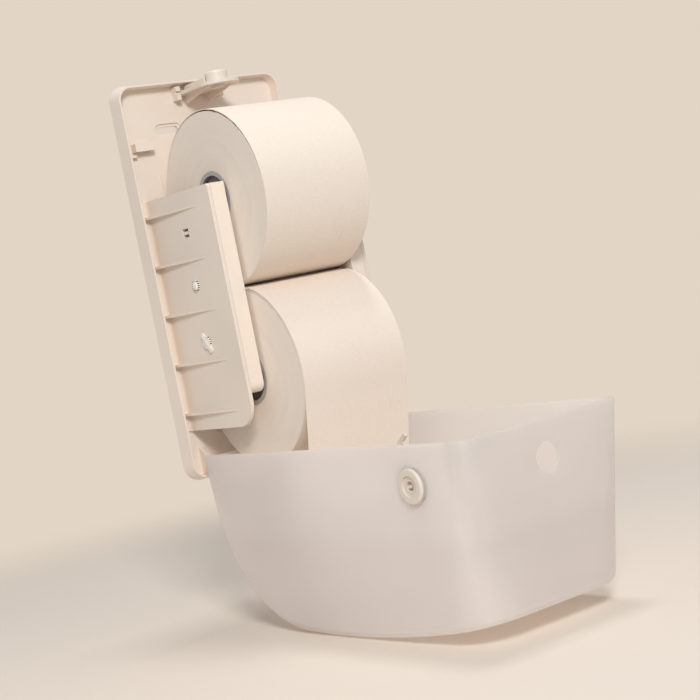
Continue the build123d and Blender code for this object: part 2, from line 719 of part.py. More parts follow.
def tear_bar():
    """The toothed bar on the inside of the cover along the upper edge of the outlet."""
    edge_z = tray_bottom + outlet_height
    top_z = edge_z + tear_bar_height
    half = outlet_half_width - outlet_corner - 1
    y_far = cover_y - cover_depth
    blank = block(-half, half, y_far, y_far + cover_depth / 2, edge_z, top_z)
    bar = (blank & cover_form(cover_wall + 0.05, 0)) - cover_form(cover_wall + tear_bar_sheet, 0)
    count = int(2 * half / tooth_pitch)
    width = 2 * half / count
    outline = [(-half - 1, edge_z - 1), (-half - 1, edge_z)]
    for number in range(count):
        left = -half + number * width
        outline += [(left, edge_z + tooth_height), (left + width / 2, edge_z)]
    outline += [(half, edge_z + tooth_height), (half + 1, edge_z), (half + 1, edge_z - 1)]
    gaps = make_face(Polyline(*[(x, y_far - 1, z) for x, z in outline], close=True))
    return bar - extrude(gaps, amount=cover_depth, dir=(0, 1, 0))


def both(left):
    """A piece and its twin on the other side, as one node of fasteners."""
    return Compound(children=[left, other_side(left)])


pieces = {
    "back_tray": back_tray(),
    "left_track": left_track(),
    "right_track": other_side(left_track()),
    "left_pawl": left_pawl(),
    "right_pawl": other_side(left_pawl()),
    "pawl_pins": both(left_pawl_pin()),
    "left_wing_stud": left_wing_stud(),
    "right_wing_stud": other_side(left_wing_stud()),
    "upper_axle": axle(upper_axle_z),
    "lower_axle": axle(lower_axle_z),
    "upper_core": core(upper_axle_z),
    "lower_core": core(lower_axle_z),
    "upper_hub_left": left_hub(upper_axle_z),
    "upper_hub_right": other_side(left_hub(upper_axle_z)),
    "lower_hub_left": left_hub(lower_axle_z),
    "lower_hub_right": other_side(left_hub(lower_axle_z)),
    "upper_roll": paper(upper_axle_z, upper_roll_dia),
    "lower_roll": paper(lower_axle_z, lower_roll_dia),
    "paper_tail": paper_tail(),
    "latch_tongue": latch_tongue(),
    "latch_button": latch_button(),
    "front_cover": opened(front_cover()),
    "tear_bar": opened(tear_bar()),
    "hinge_pins": opened(both(left_hinge_pin())),
    "lock_housing": opened(lock_housing()),
    "lock_nut": opened(lock_nut_ring()),
    "lock_plug": opened(unlocked(lock_plug())),
    "lock_cam": opened(unlocked(lock_cam())),
    "cam_screw": opened(unlocked(cam_screw())),
}

for name, shape in pieces.items():
    export_step(shape, f"parts/{name}.step")
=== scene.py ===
"""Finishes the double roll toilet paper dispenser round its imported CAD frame.

The CAD pieces keep their shapes and get moulded, metal and milky finishes. The wound paper is made here, as
two rolls with their turns showing at the ends and the loose end of the lower one as a hanging sheet, and so are
the small heads of the fasteners on the arms.
"""

import math

import bpy
from bpy.props import FloatProperty, FloatVectorProperty, IntProperty, PointerProperty
from mathutils import Matrix, Vector, noise


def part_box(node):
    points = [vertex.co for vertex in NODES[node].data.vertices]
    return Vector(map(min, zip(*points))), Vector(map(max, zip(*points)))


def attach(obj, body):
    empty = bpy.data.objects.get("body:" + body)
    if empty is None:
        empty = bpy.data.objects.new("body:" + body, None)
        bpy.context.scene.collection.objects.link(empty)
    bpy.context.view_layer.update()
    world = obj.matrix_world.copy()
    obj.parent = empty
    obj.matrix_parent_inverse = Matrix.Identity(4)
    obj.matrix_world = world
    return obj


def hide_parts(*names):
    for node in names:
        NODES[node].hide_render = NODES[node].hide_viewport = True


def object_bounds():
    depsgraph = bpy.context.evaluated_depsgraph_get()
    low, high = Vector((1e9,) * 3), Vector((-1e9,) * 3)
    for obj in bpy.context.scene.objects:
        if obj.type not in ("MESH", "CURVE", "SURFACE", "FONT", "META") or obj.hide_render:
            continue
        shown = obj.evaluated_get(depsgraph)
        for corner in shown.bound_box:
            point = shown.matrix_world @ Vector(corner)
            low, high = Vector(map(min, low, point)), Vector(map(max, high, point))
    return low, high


bl_info = {
    "name": "Double Roll Dispenser",
    "version": (1, 0, 0),
    "blender": (4, 5, 0),
    "location": "View3D > Sidebar > Dispenser",
    "description": "Winds the paper and finishes a drop-front dispenser for two toilet rolls",
    "category": "Object",
}

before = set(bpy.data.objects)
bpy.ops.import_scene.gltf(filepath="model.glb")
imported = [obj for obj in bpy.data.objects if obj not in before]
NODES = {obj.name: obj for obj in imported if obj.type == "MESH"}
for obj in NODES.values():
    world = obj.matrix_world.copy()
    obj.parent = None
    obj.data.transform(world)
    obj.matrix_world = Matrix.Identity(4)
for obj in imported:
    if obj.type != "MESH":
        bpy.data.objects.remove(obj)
CAD_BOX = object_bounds()
MM = 0.001
WHITE, BLACK = (1, 1, 1), (0, 0, 0)
NOISE = 0.3, 0.7  # most values of a noise texture lie between these
END_FACE = 0.7  # a face whose normal has more than this of x closes an end of a roll
NEAR = 0.1 * MM  # how far from its drawn radius a vertex is still taken to lie on it
EDGE_ANGLE = math.radians(40)  # edges sharper than this stay sharp on the heads and the loose end


def linear(red, green, blue):
    """A display colour from 0 to 255 as the scene's linear colour."""
    return tuple(((c / 255 + 0.055) / 1.055) ** 2.4 if c > 10 else c / 255 / 12.92 for c in (red, green, blue))


def colour(name, description, red, green, blue):
    """A colour property with its default given as a display colour."""
    return FloatVectorProperty(
        name=name, description=description, subtype="COLOR", size=3, min=0, max=1, default=linear(red, green, blue)
    )


def length(name, description, default):
    """A length property in metres."""
    return FloatProperty(name=name, description=description, subtype="DISTANCE", unit="LENGTH", default=default)


class DispenserFinish(bpy.types.PropertyGroup):
    """Colours of the mouldings, the fittings and the lock."""

    cream: colour("Cream", "Tray and latch plastic", 241, 227, 213)
    track: colour("Track", "Roll tracks inside the arms", 247, 233, 219)
    fastener: colour("Fastener", "Wing studs and the heads of all fasteners", 248, 241, 230)
    pawl: colour("Pawl", "Pawls under the upper axle", 226, 214, 198)
    axle: colour("Axle", "Both axles", 232, 220, 204)
    core: colour("Core", "Tubes that the paper is wound on", 186, 182, 180)
    # Painted shade: the plugs get this dark grey for the shade inside the tubes' bores
    hub_shade: colour("Hub", "Plugs in the ends of the tubes", 118, 116, 118)
    lock: colour("Lock", "Dished housing of the side lock", 232, 221, 208)
    nylon: colour("Nylon", "Nut and hinge pins", 203, 197, 188)
    zinc: colour("Zinc", "Hooked cam of the lock, painted zinc", 226, 213, 198)
    steel: colour("Steel", "Pins and the cam's screw", 186, 184, 180)
    # Painted shade: the dark of the collars' slits, painted on as stripes
    slit_shade: colour("Slit", "Dark slits in the fasteners' collars", 96, 84, 72)
    # Painted shade: the brown pin heads stand for the dark inside the hooks' windows
    window_shade: colour("Brass", "Pin heads in the hooks' windows", 128, 92, 58)
    peg_rise: length("Peg rise", "From the wing stud up to the track's peg", 45 * MM)
    hook_rise: length("Hook rise", "From the wing stud up to the track's hook", 86.5 * MM)
    grain: length("Grain", "Size of the spark-eroded grain on the mouldings", 0.45 * MM)


class DispenserCover(bpy.types.PropertyGroup):
    """The milky plastic of the cover and its tear bar."""

    milk: colour("Milk", "What the cover scatters back", 240, 237, 236)
    glow: colour("Glow", "What the cover lets through", 254, 252, 252)
    scatter: FloatProperty(
        name="Scatter", description="Share of the light that comes through spread", subtype="FACTOR", default=0.62
    )
    # Painted light: from this height up the open cover's walls are painted lighter, by the share below
    painted_light_from: length("Thin from", "Height above which the open cover's walls are thinner", -0.205)
    painted_light: FloatProperty(name="Thin", description="How much lighter the thin walls are", subtype="FACTOR", default=0.5)
    # Painted shade: from this reach on the open cover's far end is painted darker, by the share below
    painted_shade_from: length("Dense from", "Where the open cover's far end begins, which is thicker", -0.322)
    painted_shade: FloatProperty(name="Dense", description="How much darker the far end is", subtype="FACTOR", default=0.22)
    clear: FloatProperty(
        name="Clear", description="Share of the light that comes straight through", subtype="FACTOR", default=0.2
    )


class DispenserPaper(bpy.types.PropertyGroup):
    """How the paper looks and how it is wound."""

    sheet: colour("Sheet", "Outside of the paper", 247, 233, 219)
    # Painted shade: the hollows of the creping and of the embossing are painted this darker colour
    sheet_hollow_shade: colour("Sheet, low", "Hollows of the creping", 240, 225, 210)
    edge: colour("Edge", "Cut edges of the wound turns", 246, 233, 219)
    # Painted shade: the gaps between the turns are painted this darker colour
    edge_gap_shade: colour("Edge, low", "Gaps between the turns", 239, 225, 211)
    emboss: length("Emboss", "Pitch of the embossed dots", 2.5 * MM)
    loose_turn: length("Loose turn", "Thickness of the last turn, which lies loose", 0.9 * MM)
    turn_gap: length("Turn gap", "Gap behind the last turn", 0.8 * MM)
    crack_at: FloatProperty(name="Crack at", description="Where the last turn stands off most, in degrees", default=128)
    sag: length("Sag", "Unevenness of the wound surface", 0.22 * MM)
    around: IntProperty(name="Around", description="Faces round a roll", default=256)
    along: IntProperty(name="Along", description="Cuts along a roll", default=30)
    torn_pitch: length("Torn pitch", "Pitch of the teeth that tore the free end", 5.0 * MM)


class DispenserStage(bpy.types.PropertyGroup):
    """Floor, lamps and the camera of the product photograph."""

    ground: colour("Ground", "Floor", 238, 226, 213)
    backdrop: colour("Backdrop", "What is seen behind the floor", 226, 213, 197)
    camera_place: FloatVectorProperty(
        name="Camera", description="Where the camera stands", subtype="TRANSLATION", default=(-0.7343, -1.1511, -0.0227)
    )
    camera_sight: FloatVectorProperty(
        name="Sight", description="The way the camera looks", subtype="DIRECTION", default=(0.5894, 0.8066, -0.0445)
    )
    camera_right: FloatVectorProperty(
        name="Right",
        description="What is right in the picture",
        subtype="DIRECTION",
        default=(0.7867, -0.5856, -0.1954),
    )
    lens: FloatProperty(name="Lens", description="Focal length", subtype="DISTANCE_CAMERA", default=84.43)
    key: FloatProperty(name="Key", description="Power of the large lamp in front", subtype="POWER", default=32.5)
    top: FloatProperty(name="Top", description="Power of the lamp above", subtype="POWER", default=10.5)
    sky: FloatProperty(name="Sky", description="Strength of the light from all round", default=0.43)


# Node helpers


def add(tree, kind, inputs=None, **settings):
    """Adds a shader node, sets it and feeds its inputs with values or with other nodes' outputs."""
    node = tree.nodes.new("ShaderNode" + kind)
    for key, value in settings.items():
        setattr(node, key, value)
    for key, value in (inputs or {}).items():
        if isinstance(value, bpy.types.NodeSocket):
            tree.links.new(value, node.inputs[key])
        else:
            node.inputs[key].default_value = value
    return node


def maths(tree, operation, first, second=0.0, third=0.0):
    """A sum on numbers or sockets."""
    return add(tree, "Math", {0: first, 1: second, 2: third}, operation=operation).outputs[0]


def blend_colours(tree, share, low, high):
    """Two colours mixed by a share."""
    mix = add(tree, "Mix", {"Factor": share}, data_type="RGBA")
    for number, value in ((6, low), (7, high)):
        if isinstance(value, bpy.types.NodeSocket):
            tree.links.new(value, mix.inputs[number])
        else:
            mix.inputs[number].default_value = (*value, 1)
    return mix.outputs[2]


def spread(tree, value, low, high, to_low=0.0, to_high=1.0):
    """A value moved from one range to another and kept in it."""
    inputs = {"Value": value, "From Min": low, "From Max": high, "To Min": to_low, "To Max": to_high}
    return add(tree, "MapRange", inputs).outputs[0]


def weighed(tree, first, second, share):
    """Two values added, with a share of the first and the rest of the second."""
    return maths(tree, "ADD", maths(tree, "MULTIPLY", first, share), maths(tree, "MULTIPLY", second, 1 - share))


def grain_of(tree, where, cells, detail=2.0, stretch=(1, 1, 1)):
    """Noise of so many cells a metre, each way times its stretch."""
    at = add(tree, "Mapping", {"Vector": where, "Scale": stretch}).outputs[0]
    return add(tree, "TexNoise", {"Vector": at, "Scale": cells, "Detail": detail}).outputs[0]


def waves(tree, place, pitch, wander, sway):
    """A sine along a place in metres, shifted by a noise times so many radians."""
    phase = maths(tree, "MULTIPLY_ADD", place, 2 * math.pi / pitch, maths(tree, "MULTIPLY", wander, sway))
    return maths(tree, "SINE", phase)


def bumped(tree, *layers, normal=None):
    """Bumps laid over one another, each a height from 0 to 1 and the metres that it stands for."""
    for height, depth in layers:
        inputs = {"Height": height, "Distance": depth}
        if normal is not None:
            inputs["Normal"] = normal
        normal = add(tree, "Bump", inputs).outputs[0]
    return normal


def new_material(name):
    """An empty node material and its tree."""
    made = bpy.data.materials.new(name)
    made.use_nodes = True
    made.node_tree.nodes.clear()
    return made, made.node_tree


def shade(tree, shader):
    """Leads a shader to the material's output."""
    add(tree, "OutputMaterial", {"Surface": shader})


def soft_edge(tree, radius):
    """A normal that rounds sharp edges by a radius."""
    return add(tree, "Bevel", {"Radius": radius}, samples=4).outputs[0]


def moulded(name, tint, rough, mottle=0.035):
    """Injection-moulded plastic: eroded grain, faint flow marks, softly rounded edges and a little unevenness."""
    made, tree = new_material(name)
    where = add(tree, "TexCoord").outputs["Object"]
    fine = grain_of(tree, where, cells=1 / bpy.context.scene.dispenser_finish.grain, detail=3)
    flow = grain_of(tree, where, cells=26, detail=3, stretch=(1, 1, 0.25))
    cloud = grain_of(tree, where, cells=9)
    low = tuple(c * (1 - mottle * 2) for c in tint)
    high = tuple(min(1, c * (1 + mottle)) for c in tint)
    warm = (tint[0], tint[1] * 0.985, tint[2] * 0.96)
    base = blend_colours(tree, spread(tree, cloud, *NOISE), low, high)
    base = blend_colours(tree, spread(tree, flow, 0.5, 0.75, to_high=0.35), base, warm)
    relief = bumped(tree, (fine, 0.012 * MM), (flow, 0.03 * MM), normal=soft_edge(tree, 0.35 * MM))
    gloss = spread(tree, fine, *NOISE, to_low=rough - 0.05, to_high=rough + 0.06)
    inputs = {"Base Color": base, "Roughness": gloss, "Normal": relief, "Specular IOR Level": 0.42}
    shade(tree, add(tree, "BsdfPrincipled", inputs).outputs[0])
    return made


def metal(name, tint, rough):
    """Bare metal with marks from being drawn along x and with dull patches."""
    made, tree = new_material(name)
    where = add(tree, "TexCoord").outputs["Object"]
    marks = grain_of(tree, where, cells=900, detail=3, stretch=(0.2, 1, 1))
    dull = grain_of(tree, where, cells=160)
    base = blend_colours(tree, spread(tree, dull, 0.35, 0.7), tint, tuple(c * 0.72 for c in tint))
    gloss = spread(tree, marks, *NOISE, to_low=rough - 0.08, to_high=rough + 0.1)
    relief = bumped(tree, (marks, 0.01 * MM))
    inputs = {"Base Color": base, "Metallic": 1.0, "Roughness": gloss, "Normal": relief}
    shade(tree, add(tree, "BsdfPrincipled", inputs).outputs[0])
    return made


def milky(name, look, scatter, clear, frost_depth):
    """Frosted plastic that light passes, most of it spread and a little of it straight."""
    made, tree = new_material(name)
    where = add(tree, "TexCoord").outputs["Object"]
    reach, height = add(tree, "SeparateXYZ", {"Vector": where}).outputs[1:]
    cloud = grain_of(tree, where, cells=7)
    flow = grain_of(tree, where, cells=16, detail=3, stretch=(1, 0.3, 1))
    frost = grain_of(tree, where, cells=1400)
    base = blend_colours(tree, spread(tree, cloud, *NOISE), tuple(c * 0.93 for c in look.milk), look.milk)
    # Painted light: the walls are painted lighter upwards, over 15 mm of height
    painted_light = spread(tree, height, look.painted_light_from - 9 * MM, look.painted_light_from + 6 * MM)
    base = blend_colours(tree, maths(tree, "MULTIPLY", painted_light, look.painted_light), base, WHITE)
    # Painted shade: the far end is painted darker, over 12 mm of reach
    painted_shade = spread(tree, reach, look.painted_shade_from, look.painted_shade_from - 12 * MM, to_high=look.painted_shade)
    base = blend_colours(tree, painted_shade, base, BLACK)
    relief = bumped(tree, (frost, frost_depth), normal=soft_edge(tree, 0.5 * MM))
    gloss = spread(tree, flow, *NOISE, to_low=0.34, to_high=0.44)
    inputs = {"Base Color": base, "Roughness": gloss, "Normal": relief, "Specular IOR Level": 0.4}
    body = add(tree, "BsdfPrincipled", inputs).outputs[0]
    glow = blend_colours(tree, spread(tree, flow, 0.35, 0.7), look.glow, tuple(c * 0.95 for c in look.glow))
    through = add(tree, "BsdfTranslucent", {"Color": glow, "Normal": relief}).outputs[0]
    inside = add(tree, "MixShader", {"Fac": scatter, 1: body, 2: through}).outputs[0]
    straight = add(tree, "BsdfTransparent", {"Color": (0.97, 0.95, 0.93, 1)}).outputs[0]
    shade(tree, add(tree, "MixShader", {"Fac": clear, 1: inside, 2: straight}).outputs[0])
    return made


def creped(name, look):
    """Tissue seen from outside: creping across the web, embossed dots and soft handling creases."""
    made, tree = new_material(name)
    where = add(tree, "UVMap", uv_map="wound").outputs[0]
    across, along = add(tree, "SeparateXYZ", {"Vector": where}).outputs[:2]
    wander = grain_of(tree, where, cells=90)
    rows = waves(tree, across, look.emboss / 0.7, wander, sway=14)
    lines = waves(tree, along, look.emboss / 1.2, wander, sway=12)
    dots = spread(tree, maths(tree, "ADD", maths(tree, "MULTIPLY", rows, 0.7), lines), -1.2, 1.2)
    crepe = grain_of(tree, where, cells=1, detail=4, stretch=(260, 1500, 1))
    fibre = grain_of(tree, where, cells=2600)
    crease = grain_of(tree, where, cells=1, detail=3, stretch=(330, 46, 1))
    patches = spread(tree, grain_of(tree, where, cells=22), 0.52, 0.66)
    crease = maths(tree, "MULTIPLY", spread(tree, crease, 0.45, 0.75), patches)
    swell = grain_of(tree, where, cells=48)
    folds = (swell, 0.25 * MM), (crease, 0.22 * MM)
    relief = bumped(tree, *folds, (dots, 0.02 * MM), (crepe, 0.09 * MM), (fibre, 0.03 * MM))
    # Painted shade: the low places of the creping and of the dots are painted darker
    tone = weighed(tree, crepe, dots, 0.88)
    inputs = {
        "Base Color": blend_colours(tree, spread(tree, tone, *NOISE), look.sheet_hollow_shade, look.sheet),
        "Roughness": spread(tree, crepe, *NOISE, to_low=0.88, to_high=0.98),
        "Normal": relief,
        "Specular IOR Level": 0.1,
        "Sheen Weight": 0.04,
        "Sheen Roughness": 0.5,
    }
    shade(tree, add(tree, "BsdfPrincipled", inputs).outputs[0])
    return made


def wound_edge(name, look):
    """The cut ends of the turns: close rings that wander a little, in bands wound tighter and looser, with painted
    shade in the gaps between the turns and in soft patches.
    """
    made, tree = new_material(name)
    where = add(tree, "UVMap", uv_map="wound").outputs[0]
    rings = grain_of(tree, where, cells=1, detail=3, stretch=(2400, 9, 1))
    bands = grain_of(tree, where, cells=1, stretch=(170, 3, 1))
    fuzz = grain_of(tree, where, cells=1900, detail=3)
    shadow = grain_of(tree, where, cells=1, stretch=(60, 14, 1))
    tone = weighed(tree, rings, bands, 0.75)
    base = blend_colours(tree, spread(tree, tone, 0.32, 0.62), look.edge_gap_shade, look.edge)
    base = blend_colours(tree, spread(tree, shadow, 0.5, 0.8, to_high=0.3), base, look.edge_gap_shade)
    relief = bumped(tree, (bands, 0.12 * MM), (rings, 0.12 * MM), (fuzz, 0.04 * MM))
    inputs = {"Base Color": base, "Roughness": 0.95, "Normal": relief, "Specular IOR Level": 0.15}
    shade(tree, add(tree, "BsdfPrincipled", inputs).outputs[0])
    return made


def slitted(name, tint, dark, pitch):
    """Bright plastic with dark stripes across it, painted shade for slits that are not cut."""
    made, tree = new_material(name)
    where = add(tree, "TexCoord").outputs["Object"]
    wander = grain_of(tree, where, cells=160)
    height = add(tree, "SeparateXYZ", {"Vector": where}).outputs[2]
    slit_shade = spread(tree, waves(tree, height, pitch, wander, sway=1.5), -0.1, 0.15)
    base = blend_colours(tree, slit_shade, dark, tint)
    gloss = spread(tree, wander, *NOISE, to_low=0.35, to_high=0.5)
    inputs = {"Base Color": base, "Roughness": gloss, "Normal": bumped(tree, (slit_shade, 0.3 * MM))}
    shade(tree, add(tree, "BsdfPrincipled", inputs).outputs[0])
    return made


def finish_nodes(material, slot, *names):
    """Gives CAD nodes their finish in every one of their material slots."""
    for name in names:
        node = NODES[name]
        if not node.material_slots:
            node.data.materials.append(material)
        for place in node.material_slots:
            place.material = material


# Mesh helpers


def let_go():
    """Back to object mode with nothing selected."""
    if bpy.context.object and bpy.context.object.mode != "OBJECT":
        bpy.ops.object.mode_set(mode="OBJECT")
    bpy.ops.object.select_all(action="DESELECT")


def pick(piece, kind, wanted):
    """Goes into edit mode with just the faces or edges that pass a test selected."""
    bpy.ops.object.mode_set(mode="EDIT")
    bpy.ops.mesh.select_mode(type=kind)
    bpy.ops.mesh.select_all(action="DESELECT")
    bpy.ops.object.mode_set(mode="OBJECT")
    for part in piece.data.polygons if kind == "FACE" else piece.data.edges:
        part.select = wanted(part)
    bpy.ops.object.mode_set(mode="EDIT")


def roll_sizes(name):
    """Centre, radius, width and bore radius of a roll, from its CAD solid and the tube in it."""
    low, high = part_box(name)
    tube_low, tube_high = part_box(name.replace("roll", "core"))
    return (low + high) / 2, (high.z - low.z) / 2, high.x - low.x, (tube_high.z - tube_low.z) / 2 + NEAR


def unevenness(first, second, seed):
    """Noise from -1 to 1 at a place on a surface, given in cells of the noise."""
    return noise.noise(Vector((first, second, seed)))


def lay_uv(piece, centre, radius, end_x):
    """Unrolls the winding in metres: outside by width and turn, ends by radius and turn, shifted by end_x."""
    layer = piece.data.uv_layers.get("wound") or piece.data.uv_layers.new(name="wound")
    for face in piece.data.polygons:
        middle = face.center - centre
        start = math.atan2(middle.z, middle.y)
        at_end = abs(face.normal.x) > END_FACE
        for corner in face.loop_indices:
            point = piece.data.vertices[piece.data.loops[corner].vertex_index].co - centre
            angle = math.atan2(point.z, point.y)
            angle += 2 * math.pi * round((start - angle) / (2 * math.pi))
            across = math.hypot(point.y, point.z) + end_x if at_end else point.x
            layer.data[corner].uv = (across, angle * radius)


class DISPENSER_OT_mouldings(bpy.types.Operator):
    """Finish the cream tray, its tracks, studs, pawls and latch"""

    bl_idname = "dispenser.mouldings"
    bl_label = "Cream Mouldings"

    def execute(self, context):
        look = context.scene.dispenser_finish
        cream = moulded("cream_plastic", look.cream, 0.5)
        finish_nodes(cream, "cream_plastic", "back_tray", "latch_tongue")
        finish_nodes(moulded("track_plastic", look.track, 0.46), "cream_track", "left_track", "right_track")
        studs = moulded("fastener_plastic", look.fastener, 0.36)
        finish_nodes(studs, "cream_fastener", "left_wing_stud", "right_wing_stud")
        finish_nodes(moulded("button_plastic", look.cream, 0.38), "button_plastic", "latch_button")
        finish_nodes(moulded("pawl_plastic", look.pawl, 0.42), "pawl_plastic", "left_pawl", "right_pawl")
        return {"FINISHED"}


class DISPENSER_OT_heads(bpy.types.Operator):
    """Set the split heads of the track pegs, the domed heads of the wing studs and the hooks' pin heads"""

    bl_idname = "dispenser.heads"
    bl_label = "Fastener Heads"

    # Half the sizes of the heads, out of the arm, forwards and upwards, in millimetres
    WING = 2.1, 2.6, 9.4
    WING_HUB = 2.25, 3.9, 4.4
    PEG_HALF = 2.25, 3.6, 4.0
    HOOK_PIN = 0.9, 3.0, 3.1
    # How deep their middles lie behind the stud's end, and half the slit between a peg's halves, in millimetres
    HEAD_DEPTH, PIN_DEPTH, HALF_SLIT = 1.9, 4.3, 0.55
    # The collars: radii, width and how deep their middles lie, in millimetres
    WING_COLLAR, PEG_COLLAR, COLLAR_WIDTH, COLLAR_DEPTH = 5.2, 4.5, 1.3, 1.6
    SLIT_PITCH = 1.7 * MM
    WING_TILT = math.radians(-36)
    ROUND = 48  # faces round a head or a collar

    def execute(self, context):
        look = context.scene.dispenser_finish
        shiny = moulded("head_plastic", look.fastener, 0.25)
        slits = slitted("slitted_plastic", look.fastener, look.slit_shade, self.SLIT_PITCH)
        window_shade = moulded("window_shade_pin", look.window_shade, 0.4)
        for side, hand in ((-1, "left"), (1, "right")):
            low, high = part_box(hand + "_wing_stud")
            stud = (low + high) / 2
            stud.x = low.x if side < 0 else high.x
            peg = Vector((stud.x, stud.y, stud.z + look.peg_rise))
            hook = Vector((stud.x, stud.y, stud.z + look.hook_rise))
            wing, chassis = hand + "_wing", "chassis"
            self.dome(hand + "_wing_head", wing, stud, side, self.WING, shiny, tilt=self.WING_TILT)
            self.dome(hand + "_wing_hub", wing, stud, side, self.WING_HUB, shiny, tilt=self.WING_TILT)
            self.collar(hand + "_wing_collar", wing, stud, side, self.WING_COLLAR, slits)
            self.dome(hand + "_peg_head_front", chassis, peg, side, self.PEG_HALF, shiny, half=-1)
            self.dome(hand + "_peg_head_back", chassis, peg, side, self.PEG_HALF, shiny, half=1)
            self.collar(hand + "_peg_collar", chassis, peg, side, self.PEG_COLLAR, slits)
            # Painted shade: a brown pin head in each hook's window for the dark inside it
            self.dome(hand + "_hook_pin", chassis, hook, side, self.HOOK_PIN, window_shade, depth=self.PIN_DEPTH)
        return {"FINISHED"}

    def dome(self, name, body, place, side, sizes, material, depth=HEAD_DEPTH, tilt=0.0, half=0):
        """A rounded head standing out of the arm, whole, or just the half of a split one on one side."""
        let_go()
        bpy.ops.mesh.primitive_uv_sphere_add(segments=self.ROUND, ring_count=self.ROUND // 2, radius=1)
        head = bpy.context.object
        if half:
            pick(head, "FACE", lambda face: face.center.y * half < 0)
            bpy.ops.mesh.delete(type="FACE")
            bpy.ops.mesh.select_mode(type="VERT")
            bpy.ops.mesh.select_non_manifold()
            bpy.ops.mesh.edge_face_add()
            bpy.ops.mesh.select_all(action="SELECT")
            bpy.ops.mesh.normals_make_consistent(inside=False)
            bpy.ops.object.mode_set(mode="OBJECT")
        head.scale = [size * MM for size in sizes]
        head.rotation_euler = (tilt, 0, 0)
        head.location = place + Vector((-side * depth, half * self.HALF_SLIT, 0)) * MM
        self.fasten(head, name, body, material)

    def collar(self, name, body, place, side, radius, material):
        """The slitted collar round a head's neck; its slits are stripes of painted shade."""
        let_go()
        bpy.ops.mesh.primitive_cylinder_add(
            vertices=self.ROUND,
            radius=radius * MM,
            depth=self.COLLAR_WIDTH * MM,
            location=place - Vector((side * self.COLLAR_DEPTH * MM, 0, 0)),
            rotation=(0, math.pi / 2, 0),
        )
        self.fasten(bpy.context.object, name, body, material)

    @staticmethod
    def fasten(piece, name, body, material):
        """Names a fastener's piece, applies its place and sets it on its body."""
        piece.name = piece.data.name = name
        bpy.ops.object.transform_apply(location=True, rotation=True, scale=True)
        bpy.ops.object.shade_smooth_by_angle(angle=EDGE_ANGLE)
        piece.data.materials.append(material)
        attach(piece, body)


class DISPENSER_OT_fittings(bpy.types.Operator):
    """Finish the axles, tubes, plugs and pins"""

    bl_idname = "dispenser.fittings"
    bl_label = "Roll Fittings"

    def execute(self, context):
        look = context.scene.dispenser_finish
        finish_nodes(moulded("axle_plastic", look.axle, 0.4), "axle_plastic", "upper_axle", "lower_axle")
        tubes = moulded("core_plastic", look.core, 0.42, mottle=0.06)
        finish_nodes(tubes, "grey_core", "upper_core", "lower_core")
        # Painted shade: the plugs' dark grey stands for the shade inside the bores
        plugs = moulded("hub_plastic", look.hub_shade, 0.5, mottle=0.06)
        finish_nodes(plugs, "dark_hub", "upper_hub_left", "upper_hub_right", "lower_hub_left", "lower_hub_right")
        finish_nodes(metal("pin_steel", look.steel, 0.28), "steel_pin", "pawl_pins")
        return {"FINISHED"}


class DISPENSER_OT_cover(bpy.types.Operator):
    """Finish the milky cover, its tear bar and its hinge pins"""

    bl_idname = "dispenser.cover"
    bl_label = "Cover"

    def execute(self, context):
        look = context.scene.dispenser_cover
        frosted = milky("frosted_cover", look, look.scatter, look.clear, 0.008 * MM)
        finish_nodes(frosted, "translucent_cover", "front_cover")
        bar = milky("clear_bar", look, look.scatter * 0.6, look.clear * 3, 0.004 * MM)
        finish_nodes(bar, "clear_plastic", "tear_bar")
        pins = moulded("pin_nylon", context.scene.dispenser_finish.nylon, 0.45)
        finish_nodes(pins, "grey_nylon", "hinge_pins")
        return {"FINISHED"}


class DISPENSER_OT_lock(bpy.types.Operator):
    """Finish the side lock: housing, nut, plug, cam and screw"""

    bl_idname = "dispenser.lock"
    bl_label = "Side Lock"

    def execute(self, context):
        look = context.scene.dispenser_finish
        finish_nodes(moulded("lock_plastic", look.lock, 0.4), "lock_cream", "lock_housing")
        finish_nodes(moulded("nut_nylon", look.nylon, 0.48), "grey_nylon", "lock_nut")
        finish_nodes(moulded("lock_plug_plastic", look.lock, 0.36), "lock_core", "lock_plug")
        finish_nodes(moulded("cam_zinc", look.zinc, 0.4), "zinc_cam", "lock_cam")
        finish_nodes(metal("screw_steel", look.steel, 0.3), "steel_screw", "cam_screw")
        return {"FINISHED"}


